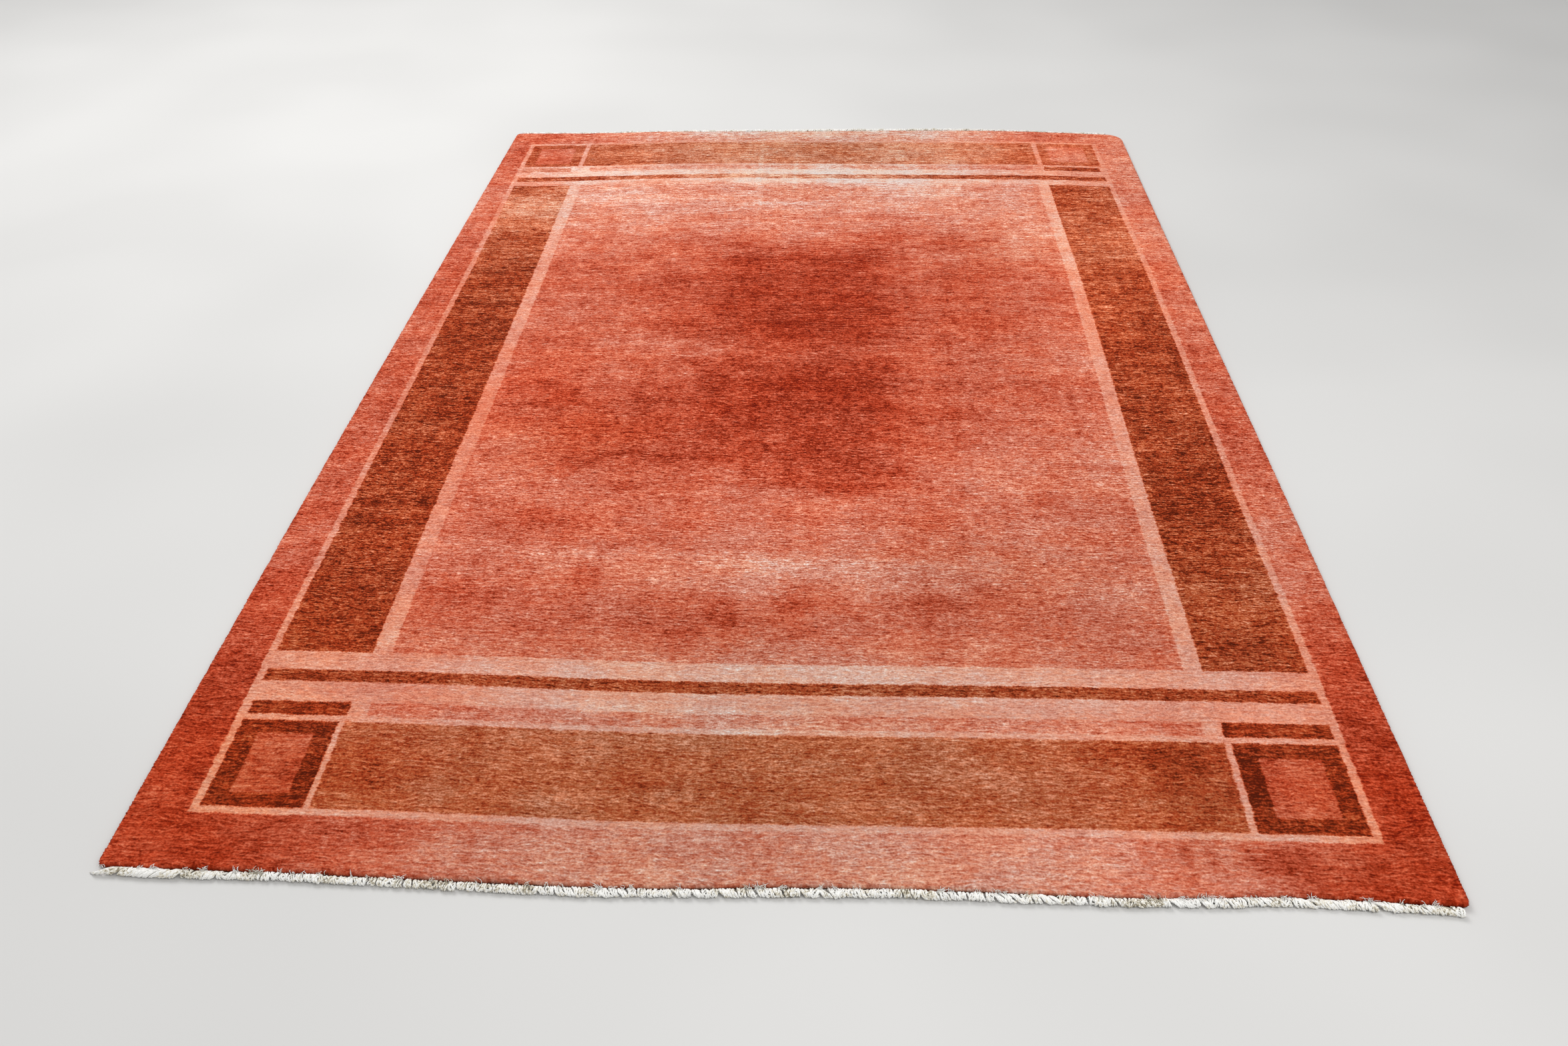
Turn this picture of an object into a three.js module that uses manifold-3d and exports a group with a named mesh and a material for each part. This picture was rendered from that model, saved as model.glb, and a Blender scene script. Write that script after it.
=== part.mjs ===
// A hand-knotted wool pile rug of 2 by 3 metres, lying flat, with plaited warp ends on both short sides.
// Millimetres, +Z up: X runs across the rug, Y along it, and the near end is at -Y.
// The pile and its woven foundation are one solid. Each end has a narrow woven strip that carries
// the cotton locks, parted from the pile's edge. The origin is on the floor under the middle of the box.
import * as THREE from "three";
import Module from "manifold-3d";
import { mergeVertices } from "three/addons/utils/BufferGeometryUtils.js";

// Pile: nominal size, and the cross-section of its edge from the floor up
const WIDTH = 2000;
const LENGTH = 3000;
const THICKNESS = 12;
const EDGE_SECTION = [
  { height: 0, inset: 1.6 },
  { height: 1.8, inset: 0.2 },
  { height: 8, inset: 0 },
  { height: 10.8, inset: 1.6 },
  { height: THICKNESS, inset: 5 },
];

// Corner radii, and the longest step round a corner, along an end and along a side
const CORNERS = { nearLeft: 9, nearRight: 8, farRight: 48, farLeft: 12 };
const CORNER_STEP = 8;
const END_STEP = 50;
const SIDE_STEP = 100;

// A hand-made edge is never quite straight: at runs from -1 to 1 along the edge, out is how far it bulges
const NEAR_EDGE = [
  { at: -1, out: 0 },
  { at: -0.7, out: 2 },
  { at: -0.45, out: 8 },
  { at: -0.18, out: 11 },
  { at: 0.02, out: 2 },
  { at: 0.27, out: -1 },
  { at: 0.5, out: 3 },
  { at: 0.77, out: -6 },
  { at: 1, out: 1 },
];
const FAR_EDGE = [
  { at: -1, out: -14 },
  { at: -0.75, out: -8 },
  { at: -0.5, out: 10 },
  { at: -0.1, out: 19 },
  { at: 0.25, out: 30 },
  { at: 0.6, out: 34 },
  { at: 1, out: 6 },
];
const LEFT_EDGE = [
  { at: -1, out: 6 },
  { at: -0.2, out: 10.5 },
  { at: 0.4, out: 7.5 },
  { at: 1, out: 3 },
];
const RIGHT_EDGE = [
  { at: -1, out: 1.5 },
  { at: -0.5, out: 4 },
  { at: 0.5, out: 4.5 },
  { at: 1, out: 6 },
];

// Warp ends: a woven strip beside the pile, and the locks that it carries
const GAP = 0.45;
const STRIP_WIDTH = 5;
const STRIP_THICKNESS = 3;
const LOCK_PITCH = 13.25;
const LOCKS_PER_BEND = 4;
const LOCK_ROOT = 1.6;
const LOCK_REACH = 16.5;
const LOCK_SWEEP = THREE.MathUtils.degToRad(60);
const LOCK_SECTION = [
  { along: 0, width: 8.5, top: 2.4, base: 1 },
  { along: 0.46, width: 10.6, top: 8.8, base: 0 },
  { along: 0.76, width: 8.6, top: 8, base: 0 },
  { along: 1, width: 4.6, top: 3.4, base: 0 },
];
const LOCK_TOP_SHARE = 0.55;
const NEAR_STRIP = { from: -992, to: 993 };
const FAR_STRIP = { from: -988, to: 956 };

// How far a lock leans along the edge by its tip: it turns over near the left corner
const LOCK_LEAN = [
  { at: -1, lean: -7 },
  { at: -0.85, lean: -3 },
  { at: -0.65, lean: 8 },
  { at: 0, lean: 8 },
  { at: 1, lean: 9 },
];

const wool = new THREE.MeshStandardMaterial({ color: 0xb24a32, roughness: 0.95, metalness: 0 });
const cotton = new THREE.MeshStandardMaterial({ color: 0xe4dccb, roughness: 0.9, metalness: 0 });

const wasm = await Module();
wasm.setup();

// A function of place that runs smoothly through one column of a table
function smoothColumn(rows, column) {
  const places = rows.map((row) => row.at);
  const values = rows.map((row) => row[column]);
  const curve = new THREE.CubicInterpolant(places, values, 1, new Float32Array(1));
  return (at) => curve.evaluate(THREE.MathUtils.clamp(at, -1, 1))[0];
}

const nearOut = smoothColumn(NEAR_EDGE, "out");
const farOut = smoothColumn(FAR_EDGE, "out");
const leftOut = smoothColumn(LEFT_EDGE, "out");
const rightOut = smoothColumn(RIGHT_EDGE, "out");
const lockLean = smoothColumn(LOCK_LEAN, "lean");

// Moves a point of the nominal rectangle to where the uneven rug has it
function placeOnRug(x, y) {
  const acrossShare = x / WIDTH;
  const alongShare = y / LENGTH;
  const outRight = (0.5 + acrossShare) * rightOut(2 * alongShare);
  const outLeft = (0.5 - acrossShare) * leftOut(2 * alongShare);
  const outFar = (0.5 + alongShare) * farOut(2 * acrossShare);
  const outNear = (0.5 - alongShare) * nearOut(2 * acrossShare);
  return new THREE.Vector2(x + outRight - outLeft, y + outFar - outNear);
}

// Evenly spaced values from one number to another, with no step longer than the given one
function steps(from, to, longest) {
  const count = Math.ceil(Math.abs(to - from) / longest);
  return Array.from({ length: count + 1 }, (_, i) => from + ((to - from) * i) / count);
}

// The pile's outline, counter-clockwise from the near left corner, drawn in by an inset
function outline(inset) {
  const halfX = WIDTH / 2;
  const halfY = LENGTH / 2;
  const points = [];
  const corner = (signX, signY, radius, startAngle) => {
    const centreX = signX * (halfX - radius);
    const centreY = signY * (halfY - radius);
    const out = radius - inset;
    for (const angle of steps(startAngle, startAngle + Math.PI / 2, CORNER_STEP / radius)) {
      points.push(placeOnRug(centreX + out * Math.cos(angle), centreY + out * Math.sin(angle)));
    }
  };
  const end = (fromX, toX, y) => {
    for (const x of steps(fromX, toX, END_STEP).slice(1, -1)) points.push(placeOnRug(x, y));
  };
  const side = (fromY, toY, x) => {
    for (const y of steps(fromY, toY, SIDE_STEP).slice(1, -1)) points.push(placeOnRug(x, y));
  };
  corner(-1, -1, CORNERS.nearLeft, Math.PI);
  end(-halfX + CORNERS.nearLeft, halfX - CORNERS.nearRight, -halfY + inset);
  corner(1, -1, CORNERS.nearRight, -Math.PI / 2);
  side(-halfY + CORNERS.nearRight, halfY - CORNERS.farRight, halfX - inset);
  corner(1, 1, CORNERS.farRight, 0);
  end(halfX - CORNERS.farRight, -halfX + CORNERS.farLeft, halfY - inset);
  corner(-1, 1, CORNERS.farLeft, Math.PI / 2);
  side(halfY - CORNERS.farLeft, -halfY + CORNERS.nearLeft, -halfX + inset);
  return points;
}

// A closed body through rings of equal count. Each end is closed by a fan round its ring's middle.
function loft(rings) {
  const count = rings[0].length;
  const last = rings.length - 1;
  const middles = [rings[0], rings[last]].map((ring) =>
    ring.reduce((sum, point) => sum.add(point), new THREE.Vector3()).divideScalar(count),
  );
  const firstMiddle = rings.length * count;
  const faces = [];
  for (let i = 0; i < count; i += 1) {
    const next = (i + 1) % count;
    for (let ring = 0; ring < last; ring += 1) {
      const a = ring * count + i;
      const b = ring * count + next;
      faces.push(a, b, b + count, a, b + count, a + count);
    }
    faces.push(firstMiddle, next, i, firstMiddle + 1, last * count + i, last * count + next);
  }
  const positions = [...rings.flat(), ...middles].flatMap((point) => [point.x, point.y, point.z]);
  const geometry = new THREE.BufferGeometry();
  geometry.setAttribute("position", new THREE.Float32BufferAttribute(positions, 3));
  geometry.setIndex(faces);
  return geometry;
}

function rugBody() {
  const rings = EDGE_SECTION.map(({ height, inset }) =>
    outline(inset).map((point) => new THREE.Vector3(point.x, point.y, height)),
  );
  return loft(rings);
}

// A point beside an end of the rug: out is measured away from the pile's edge
function besideEnd(x, out, outward) {
  const edge = placeOnRug(x, (outward * LENGTH) / 2);
  return new THREE.Vector2(edge.x, edge.y + outward * out);
}

// The woven strip: a rectangle carried along the end, from the last place across the rug to the first
function stripGeometry(places, outward) {
  const near = GAP;
  const far = GAP + STRIP_WIDTH;
  const section = [
    [near, 0],
    [far, 0],
    [far, STRIP_THICKNESS],
    [near, STRIP_THICKNESS],
  ];
  const ordered = outward < 0 ? section : section.toReversed();
  const rings = places.toReversed().map((x) =>
    ordered.map(([out, height]) => {
      const point = besideEnd(x, out, outward);
      return new THREE.Vector3(point.x, point.y, height);
    }),
  );
  return loft(rings);
}

// A repeatable share from -0.5 to 0.5 that makes one lock differ from the next
function unevenness(index, salt) {
  const value = Math.sin(index * 12.9898 + salt * 78.233) * 43758.5453;
  return value - Math.floor(value) - 0.5;
}

// One lock of warp yarns: it leaves the strip, arches outward and sweeps along the edge to its tip
function lockGeometry(rootX, outward, index) {
  const lean = lockLean((2 * rootX) / WIDTH) * (1 + 0.2 * unevenness(index, 1));
  const run = (LOCK_REACH - LOCK_ROOT) * (1 + 0.16 * unevenness(index, 2));
  const plump = 1 + 0.1 * unevenness(index, 3);
  const rings = LOCK_SECTION.map(({ along, width, top, base }) => {
    const angle = LOCK_SWEEP * along;
    const out = LOCK_ROOT + (run * Math.sin(angle)) / Math.sin(LOCK_SWEEP);
    const shift = (lean * (1 - Math.cos(angle))) / (1 - Math.cos(LOCK_SWEEP));
    const root = besideEnd(rootX, out, outward);
    const centre = new THREE.Vector3(root.x + shift, root.y, 0);
    const outSpeed = (outward * run * Math.cos(angle)) / Math.sin(LOCK_SWEEP);
    const leanSpeed = (lean * Math.sin(angle)) / (1 - Math.cos(LOCK_SWEEP));
    const heading = new THREE.Vector3(leanSpeed, outSpeed, 0).normalize();
    const sideways = new THREE.Vector3(0, 0, 1).cross(heading);
    const half = (width * plump) / 2;
    const crest = along === 0 ? top : top * plump;
    const corner = (across, height) => centre.clone().addScaledVector(sideways, across).setZ(height);
    return [
      corner(-half, base),
      corner(half, base),
      corner(half * LOCK_TOP_SHARE, crest),
      corner(-half * LOCK_TOP_SHARE, crest),
    ];
  });
  return loft(rings);
}

function toManifold(geometry) {
  const merged = mergeVertices(geometry);
  return new wasm.Manifold(
    new wasm.Mesh({
      numProp: 3,
      vertProperties: Float32Array.from(merged.getAttribute("position").array),
      triVerts: Uint32Array.from(merged.index.array),
    }),
  );
}

function toGeometry(solid) {
  const mesh = solid.getMesh();
  const geometry = new THREE.BufferGeometry();
  geometry.setAttribute("position", new THREE.BufferAttribute(mesh.vertProperties, 3));
  geometry.setIndex(new THREE.BufferAttribute(mesh.triVerts, 1));
  return geometry;
}

// The strip with its row of locks fused to it. The strip bends only between two locks.
function fringe(span, outward) {
  const count = Math.floor((span.to - span.from) / LOCK_PITCH);
  const firstRoot = (span.from + span.to - (count - 1) * LOCK_PITCH) / 2;
  const places = [span.from];
  for (let i = LOCKS_PER_BEND; i < count; i += LOCKS_PER_BEND) {
    places.push(firstRoot + (i - 0.5) * LOCK_PITCH);
  }
  places.push(span.to);
  let solid = toManifold(stripGeometry(places, outward));
  for (let i = 0; i < count; i += 1) {
    solid = solid.add(toManifold(lockGeometry(firstRoot + i * LOCK_PITCH, outward, i)));
  }
  return toGeometry(solid);
}

function namedMesh(name, geometry, material) {
  const mesh = new THREE.Mesh(geometry, material);
  mesh.name = name;
  return mesh;
}

const pieces = new THREE.Group();
pieces.add(
  namedMesh("rug", rugBody(), wool),
  namedMesh("fringe_near", fringe(NEAR_STRIP, -1), cotton),
  namedMesh("fringe_far", fringe(FAR_STRIP, 1), cotton),
);

// The uneven edges leave the box off centre, so the whole rug is moved over the origin
const box = new THREE.Box3().setFromObject(pieces);
const middle = box.getCenter(new THREE.Vector3());
pieces.position.set(-middle.x, -middle.y, 0);

const part = new THREE.Group();
part.add(pieces);
export default part;
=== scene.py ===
"""A hand-knotted wool pile rug of 2 by 3 metres, lying flat, with plaited warp ends.

Metres, +Z up: X runs across the rug, Y along it, and the near end is at -Y. The rug and its warp
ends are built in mesh code over their CAD solids. The border, the lines and the uneven dye are
knots of another colour in the same pile, so they are worked out in the wool's own shader.
"""
import math

import bpy
import numpy as np
from mathutils import Euler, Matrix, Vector


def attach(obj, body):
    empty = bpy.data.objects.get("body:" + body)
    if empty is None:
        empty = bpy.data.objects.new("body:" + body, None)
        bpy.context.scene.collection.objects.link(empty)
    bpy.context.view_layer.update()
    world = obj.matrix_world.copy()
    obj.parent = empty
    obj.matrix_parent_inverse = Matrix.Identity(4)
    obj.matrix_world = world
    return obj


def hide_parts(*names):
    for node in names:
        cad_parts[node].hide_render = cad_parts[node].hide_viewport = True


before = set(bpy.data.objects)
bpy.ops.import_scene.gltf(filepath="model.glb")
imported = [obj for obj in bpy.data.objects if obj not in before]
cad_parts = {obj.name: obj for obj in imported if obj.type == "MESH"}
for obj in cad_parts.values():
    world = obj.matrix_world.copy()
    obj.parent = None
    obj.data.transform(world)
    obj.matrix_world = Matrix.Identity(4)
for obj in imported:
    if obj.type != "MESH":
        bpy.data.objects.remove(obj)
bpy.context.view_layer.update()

# Pile: nominal size, and where its middle lies in the frame, which is centred on the uneven outline
WIDTH = 2.0
LENGTH = 3.0
THICKNESS = 0.012
RUG_MIDDLE = (0.0023, -0.01185)

# Cross-section of the pile's edge from the floor up, with the inset of the top, and the corners
EDGE_SECTION = [
    # height, inset
    (0.0, 0.0016),
    (0.0018, 0.0002),
    (0.0045, -0.0002),
    (0.008, 0.0),
    (0.0106, 0.001),
]
TOP_INSET = 0.0032
CORNER_RADIUS = {(-1, -1): 0.009, (1, -1): 0.008, (1, 1): 0.048, (-1, 1): 0.012}

# A hand-made edge is never quite straight: at runs from -1 to 1 along the edge, out is the bulge
NEAR_EDGE = [
    # at, out
    (-1, 0),
    (-0.7, 0.002),
    (-0.45, 0.008),
    (-0.18, 0.011),
    (0.02, 0.002),
    (0.27, -0.001),
    (0.5, 0.003),
    (0.77, -0.006),
    (1, 0.001),
]
FAR_EDGE = [
    # at, out
    (-1, -0.012),
    (-0.75, -0.005),
    (-0.5, 0.0135),
    (-0.1, 0.0235),
    (0.25, 0.0345),
    (0.6, 0.038),
    (1, 0.008),
]
LEFT_EDGE = [(-1, 0.006), (-0.2, 0.0105), (0.4, 0.0075), (1, 0.003)]
RIGHT_EDGE = [(-1, 0.0015), (-0.5, 0.004), (0.5, 0.0045), (1, 0.006)]

# The knotted lines stray on the loom: rows by their place across, columns by their place along.
# They stray fully at the reach, and less further in.
NEAR_ROWS_STRAY = [
    # at, stray
    (-0.9, 0.001),
    (-0.6, -0.001),
    (-0.26, -0.008),
    (-0.02, -0.008),
    (0.24, -0.003),
    (0.56, 0.0),
    (0.9, 0.001),
]
FAR_ROWS_STRAY = [
    (-0.9, -0.045),
    (-0.75, -0.036),
    (-0.61, -0.025),
    (-0.45, -0.011),
    (-0.27, -0.003),
    (0.24, 0.0),
    (0.56, 0.002),
    (0.74, -0.001),
    (0.9, -0.01),
]
LEFT_COLUMNS_STRAY = [
    (-1.5, 0.015),
    (-1.3, 0.014),
    (-0.95, 0.007),
    (-0.5, 0.0035),
    (0.1, -0.001),
    (0.5, -0.0035),
    (0.9, -0.008),
    (1.4, -0.011),
]
RIGHT_COLUMNS_STRAY = [
    (-1.4, -0.005),
    (-0.95, 0.0),
    (-0.5, -0.001),
    (0.1, 0.003),
    (0.5, 0.003),
    (0.9, -0.002),
    (1.4, -0.006),
]
ROWS_STRAY_REACH = 1.05
COLUMNS_STRAY_REACH = 0.72

# Mesh: cells of the pile's top, how many of them share one cell of the underside, and its inset
COLUMNS = 236
ROWS = 316
UNDERSIDE_STEP = 4
UNDERSIDE_INSET = 0.03

# Relief of the pile's top: lattice size, height and random seed of each layer. The edge's lumps
# have one seed for X and one for Y.
RELIEF = [(0.23, 0.0007, 1), (0.06, 0.0004, 2), (0.022, 0.0003, 3)]
EDGE_LUMPS = [(0.016, 0.0008, 4, 14), (0.009, 0.0005, 5, 15)]

# Border as knotted, in the straight pattern. Later rows lie over earlier ones.
LAYOUT = [
    # dye, left, right, near, far
    ("pale", -0.925, 0.919, -1.4, 1.437),
    ("field", -0.704, 0.691, -1.036, 1.085),
    ("rust", -0.911, -0.738, -1.036, 1.087),
    ("rust", 0.724, 0.904, -1.036, 1.083),
    ("rust", -0.911, 0.904, -1.11, -1.082),
    ("rust", -0.911, 0.904, 1.122, 1.154),
    ("row", -0.705, 0.696, -1.19, -1.158),
    ("dark", -0.908, -0.739, -1.19, -1.158),
    ("dark", 0.728, 0.904, -1.19, -1.158),
    ("row", -0.697, 0.692, 1.195, 1.226),
    ("faded", -0.911, -0.757, 1.195, 1.226),
    ("rust", 0.726, 0.897, 1.196, 1.226),
    ("end", -0.739, 0.724, -1.386, -1.203),
    ("end", -0.726, 0.71, 1.241, 1.423),
    ("dark", -0.911, -0.749, -1.386, -1.203),
    ("square", -0.875, -0.781, -1.358, -1.232),
    ("dark", 0.736, 0.905, -1.386, -1.203),
    ("square", 0.771, 0.871, -1.356, -1.235),
    ("aged", -0.911, -0.74, 1.241, 1.423),
    ("worn", -0.881, -0.77, 1.262, 1.391),
    ("aged", 0.725, 0.904, 1.241, 1.423),
    ("worn", 0.754, 0.871, 1.27, 1.398),
]

# Dyes: share of the rust family, tone from 0 for deep to 1 for pale, and contrast of the streaks
DYES = {
    "pale": (0.0, 0.73, 0.65),
    "row": (0.0, 0.56, 1.15),
    "square": (0.25, 0.42, 1.1),
    "worn": (0.05, 0.46, 1.0),
    "aged": (0.85, 0.35, 1.1),
    "faded": (0.5, 0.62, 1.0),
    "rust": (1.0, 0.27, 1.4),
    "end": (1.0, 0.42, 1.2),
    "dark": (1.0, 0.2, 1.3),
}
FIELD_TONE = 0.5
MARGIN_TONE = 0.44
FIELD_CONTRAST = 1.15
MARGIN_CONTRAST = 1.15
LINE_SOFTNESS = 0.002

# Uneven dye in soft oval areas, at the far end partly painted sheen: the middle and reach of
# each, and how much paler its tone is, or deeper where that is below 0
FIELD_TONES = [
    # x, y, reach_x, reach_y, paler
    (0.0, 0.05, 0.78, 0.95, -0.11),
    (0.0, 0.02, 0.6, 0.12, 0.08),
    (-0.62, -0.15, 0.2, 0.24, -0.13),
    (-0.62, 0.3, 0.3, 0.5, -0.05),
    (0.15, 0.66, 0.6, 0.2, -0.06),
    (0.6, 0.45, 0.2, 0.12, -0.06),
    (0.6, 0.0, 0.2, 0.15, 0.06),
    # The far end is paler: partly uneven dye and partly painted sheen
    (0.0, 1.25, 1.5, 0.8, 0.32),
    (-0.62, 1.04, 0.25, 0.14, 0.12),
    (0.0, 1.0, 0.3, 0.12, -0.07),
    (0.33, 1.04, 0.22, 0.1, 0.14),
    (-0.5, 0.86, 0.38, 0.14, 0.11),
    (0.66, 0.75, 0.2, 0.4, 0.16),
    (-0.05, -0.78, 0.7, 0.12, 0.13),
    (0.0, -0.7, 0.3, 0.1, 0.07),
    (0.2, -0.56, 0.9, 0.12, 0.03),
    (0.0, -0.91, 1.0, 0.09, -0.08),
    (0.0, -1.02, 0.6, 0.08, 0.05),
    (-0.62, -1.01, 0.25, 0.1, 0.08),
    (0.4, -0.48, 0.2, 0.16, 0.09),
    (0.66, -0.42, 0.2, 0.26, 0.07),
    (0.62, -0.8, 0.2, 0.2, 0.04),
    (-0.66, -0.46, 0.2, 0.12, 0.07),
    (0.38, 0.3, 0.2, 0.45, -0.08),
    (0.32, -0.25, 0.2, 0.16, -0.05),
    (-0.3, 0.64, 0.22, 0.12, -0.09),
    (-0.3, 1.02, 0.2, 0.1, -0.06),
    (0.3, -0.82, 0.2, 0.1, -0.06),
    (-0.35, -1.0, 0.2, 0.08, 0.07),
    (-0.34, 0.14, 0.32, 0.16, 0.06),
    (0.02, 0.66, 0.2, 0.1, 0.06),
    (0.3, 0.64, 0.22, 0.12, -0.08),
    (0.0, 1.03, 0.24, 0.08, -0.06),
    (-0.64, -0.16, 0.2, 0.12, -0.04),
    (0.62, -0.16, 0.2, 0.12, -0.05),
    (0.02, -0.46, 0.14, 0.08, -0.03),
    (0.62, 0.84, 0.16, 0.12, -0.03),
    (0.6, 0.64, 0.16, 0.1, 0.03),
    (0.3, -0.7, 0.2, 0.08, -0.03),
    (-0.3, 0.46, 0.2, 0.14, -0.05),
    (0.0, -0.15, 0.2, 0.1, -0.04),
    (0.62, 0.45, 0.16, 0.12, -0.03),
    (0.02, 0.0, 0.16, 0.07, 0.03),
    (-0.64, -0.15, 0.14, 0.1, -0.03),
]
FIELD_CORE = [
    # x, y, reach_x, reach_y, deeper
    (-0.005, 0.32, 0.28, 0.37, 0.19),
    (-0.005, -0.18, 0.28, 0.32, 0.18),
    (-0.3, -0.28, 0.32, 0.2, 0.12),
    (-0.2, 0.3, 0.24, 0.22, 0.11),
    (0.08, -0.43, 0.17, 0.12, 0.14),
]
SMUDGES = [
    (-0.497, -0.46, 0.06, 0.06, -0.12),
    (-0.363, -0.535, 0.03, 0.04, -0.12),
    (-0.53, -0.63, 0.2, 0.045, -0.1),
    (-0.225, -0.645, 0.07, 0.02, -0.1),
    (-0.396, -0.815, 0.06, 0.07, -0.15),
    (-0.6, -0.87, 0.15, 0.08, -0.1),
    (-0.14, -0.89, 0.05, 0.08, -0.15),
    (0.0, -0.86, 0.05, 0.08, -0.15),
    (0.265, -0.875, 0.07, 0.07, -0.08),
    (-0.2, -0.98, 0.035, 0.06, -0.14),
    (0.1, -0.77, 0.8, 0.035, 0.08),
    (-0.04, -0.77, 0.1, 0.06, 0.1),
    (0.25, 0.72, 0.07, 0.07, -0.1),
    (-0.11, -0.93, 0.022, 0.12, -0.12),
    (-0.22, -0.7, 0.03, 0.1, -0.08),
    (-0.47, -0.78, 0.03, 0.12, 0.07),
    (0.36, -0.83, 0.03, 0.1, -0.08),
    (0.52, -0.68, 0.04, 0.09, -0.06),
    (-0.1, 0.93, 0.22, 0.02, 0.12),
    (0.2, 0.84, 0.14, 0.08, -0.1),
]
MARGIN_TONES = [
    (-1.0, -1.3, 0.42, 0.7, -0.18),
    (1.0, -1.35, 0.38, 0.7, -0.23),
    (0.05, -1.5, 0.95, 0.28, 0.25),
    (0.45, -1.46, 0.3, 0.15, 0.06),
    (-0.82, -1.5, 0.3, 0.25, -0.1),
    (-1.0, -0.3, 0.3, 0.7, -0.04),
    (-0.97, 0.98, 0.2, 0.3, 0.12),
    (-1.0, 1.35, 0.2, 0.2, -0.06),
    (1.0, 1.2, 0.3, 0.7, 0.2),
    (1.0, 0.4, 0.3, 0.5, 0.12),
    (1.0, -0.65, 0.2, 0.35, 0.08),
    # The far end is paler: partly uneven dye and partly painted sheen
    (0.05, 1.55, 1.0, 0.3, 0.4),
    (-0.5, 1.5, 0.5, 0.3, 0.12),
    (0.5, 1.5, 0.3, 0.3, 0.12),
    (-1.0, 0.38, 0.2, 0.25, -0.07),
    (1.0, 0.72, 0.2, 0.2, 0.08),
    (1.0, 1.0, 0.2, 0.2, -0.07),
    (0.0, -1.46, 0.2, 0.12, -0.1),
    (0.82, -1.46, 0.2, 0.1, -0.04),
    (0.74, -1.44, 0.08, 0.04, -0.16),
    (0.62, -1.46, 0.08, 0.06, -0.06),
    (0.48, -1.44, 0.14, 0.06, 0.04),
    (-0.97, 0.1, 0.2, 0.14, 0.03),
    (-0.97, -1.12, 0.12, 0.14, -0.05),
    (-0.97, -1.42, 0.1, 0.1, 0.03),
    (0.97, -0.2, 0.14, 0.14, -0.06),
    (0.97, 0.4, 0.14, 0.12, -0.04),
    (-0.97, 1.3, 0.14, 0.12, 0.02),
    (0.87, -1.44, 0.1, 0.06, 0.1),
    (-0.62, -1.44, 0.12, 0.05, -0.1),
    (-0.5, -1.47, 0.1, 0.05, 0.05),
]
RUST_TONES = [
    (-0.83, 0.94, 0.3, 0.24, 0.38),
    (-0.83, 0.72, 0.3, 0.3, 0.16),
    (0.82, 0.7, 0.3, 0.3, 0.22),
    (0.82, 0.3, 0.3, 0.3, 0.05),
    (0.82, 1.0, 0.3, 0.2, 0.12),
    (0.82, 1.33, 0.12, 0.14, 0.08),
    (0.82, -0.5, 0.3, 0.2, -0.06),
    # The far end is paler: partly uneven dye and partly painted sheen
    (0.0, 1.35, 1.15, 0.3, 0.22),
    (0.4, 1.33, 0.16, 0.14, 0.08),
    (0.66, 1.33, 0.1, 0.16, -0.08),
    (-0.1, 1.14, 0.8, 0.09, 0.34),
    (-0.72, -1.3, 0.2, 0.2, -0.08),
    (-0.38, -1.3, 0.2, 0.12, 0.04),
    (0.68, -1.28, 0.2, 0.2, -0.12),
    (0.0, -1.1, 0.7, 0.06, 0.05),
    (-0.83, 0.7, 0.2, 0.15, -0.08),
    (-0.83, 0.1, 0.2, 0.2, -0.09),
    (-0.83, -0.3, 0.2, 1.0, -0.02),
    (0.82, 0.38, 0.2, 0.2, 0.06),
    (-0.83, 0.97, 0.2, 0.1, -0.03),
    (-0.83, 1.33, 0.14, 0.16, -0.06),
    (0.81, 1.33, 0.14, 0.16, 0.04),
    (0.66, -1.3, 0.1, 0.14, 0.02),
    (0.82, -0.85, 0.2, 0.2, 0.05),
    (0.6, -1.24, 0.16, 0.07, -0.12),
    (0.33, -1.28, 0.13, 0.06, 0.1),
    (-0.3, -1.25, 0.1, 0.05, 0.05),
    (0.05, 1.33, 0.25, 0.14, -0.08),
    (-0.83, -1.29, 0.16, 0.14, -0.04),
]
PALE_TONES = [
    # The far end is paler: partly uneven dye and partly painted sheen
    (0.1, 1.14, 0.9, 0.2, 0.24),
    (0.05, 1.17, 0.5, 0.08, 0.03),
    (-0.66, 1.1, 0.16, 0.03, 0.07),
    (-0.66, 1.18, 0.2, 0.03, -0.06),
    (-0.72, 0.95, 0.05, 0.16, -0.06),
    (-0.72, -0.8, 0.05, 0.14, -0.08),
    (-0.72, -0.99, 0.05, 0.06, 0.08),
    (-0.65, -1.05, 0.14, 0.04, -0.05),
    (0.0, -1.17, 0.24, 0.04, 0.05),
    (0.3, 1.18, 0.4, 0.08, 0.06),
    (-0.6, 1.18, 0.4, 0.1, 0.26),
    (-0.72, 0.95, 0.1, 0.5, 0.16),
    (0.71, 0.8, 0.1, 0.5, 0.16),
    (-0.72, -0.15, 0.1, 0.5, -0.1),
    (0.0, -1.08, 0.8, 0.1, 0.1),
    (0.0, -1.17, 0.5, 0.05, 0.08),
    (-0.68, -1.13, 0.2, 0.08, -0.12),
    (-0.93, 0.0, 0.1, 1.5, -0.08),
    (0.93, -0.8, 0.1, 1.2, -0.05),
    (0.15, -1.14, 0.6, 0.05, -0.09),
    (0.65, -1.13, 0.2, 0.06, -0.06),
    (-0.3, -1.17, 0.2, 0.04, 0.1),
    (-0.4, 1.1, 0.3, 0.04, 0.06),
    (-0.72, -0.6, 0.1, 0.3, -0.06),
    (-0.72, 0.7, 0.1, 0.2, -0.05),
]

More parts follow.
